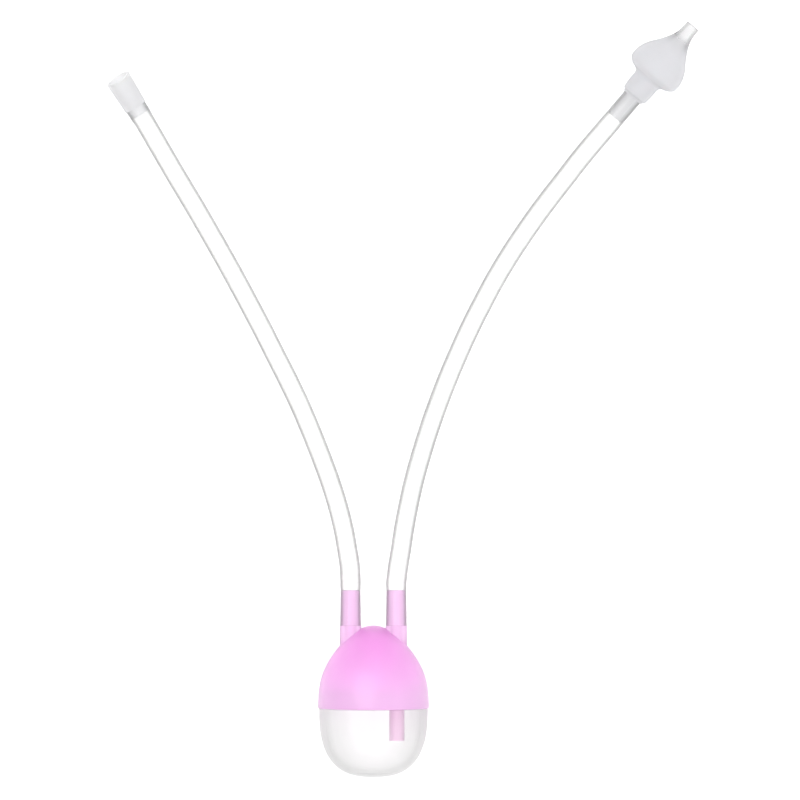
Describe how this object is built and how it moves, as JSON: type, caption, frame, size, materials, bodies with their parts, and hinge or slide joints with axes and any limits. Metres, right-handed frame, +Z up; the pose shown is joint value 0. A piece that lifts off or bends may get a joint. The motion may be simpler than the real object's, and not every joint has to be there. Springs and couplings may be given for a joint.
{
  "type": "nasal aspirator",
  "caption": "Mouth-suction nasal aspirator for babies: egg-shaped catch bottle, two clear hoses in a V, a mouthpiece and a soft bulb-shaped nose tip.",
  "frame": {"origin": "on the table, under the middle of the box of the rigid pieces (bottle, nose tip with its adapter, mouthpiece)", "axes": "+Z up from the table; +Y along the bottle's axis from the cup's base towards the hoses; +X towards the nose tip's side"},
  "size_m": [0.23, 0.2932, 0.043],
  "materials": {
    "pink_plastic": "translucent pink polypropylene, smooth",
    "clear_plastic": "clear moulded plastic, glossy",
    "seal_silicone": "milky silicone, matt",
    "clear_hose": "clear soft vinyl or silicone hose, glossy",
    "frosted_plastic": "natural frosted polypropylene",
    "soft_silicone": "milky translucent silicone, satin"
  },
  "bodies": {
    "cap": {"cap": "pink_plastic"},
    "seal": {"seal_ring": "seal_silicone"},
    "cup": {"collection_cup": "clear_plastic"},
    "nose_hose": {"nose_hose": "clear_hose"},
    "mouth_hose": {"mouth_hose": "clear_hose"},
    "adapter": {"nose_tip_adapter": "frosted_plastic"},
    "nose_tip": {"nose_tip": "soft_silicone"},
    "mouthpiece": {"mouthpiece": "frosted_plastic"}
  },
  "joints": [
    {"name": "cup_pull", "type": "slide", "parent": "cap", "child": "seal", "axis": [0, -1, 0], "range_m": [0, 0.03]},
    {"name": "cup_turn", "type": "hinge", "parent": "seal", "child": "cup", "pos_m": [-0.01127, -0.12, 0.0215], "axis": [0, 1, 0], "continuous": true},
    {"name": "nose_hose_pull", "type": "slide", "parent": "cap", "child": "nose_hose", "axis": [0, 1, 0], "range_m": [0, 0.018]},
    {"name": "mouth_hose_pull", "type": "slide", "parent": "cap", "child": "mouth_hose", "axis": [0, 1, 0], "range_m": [0, 0.018]},
    {"name": "adapter_pull", "type": "slide", "parent": "nose_hose", "child": "adapter", "axis": [0.647, 0.7575, 0.0872], "range_m": [0, 0.014]},
    {"name": "nose_tip_pull", "type": "slide", "parent": "adapter", "child": "nose_tip", "axis": [0.647, 0.7575, 0.0872], "range_m": [0, 0.012]},
    {"name": "mouthpiece_pull", "type": "slide", "parent": "mouth_hose", "child": "mouthpiece", "axis": [-0.5286, 0.846, 0.0698], "range_m": [0, 0.007]}
  ]
}
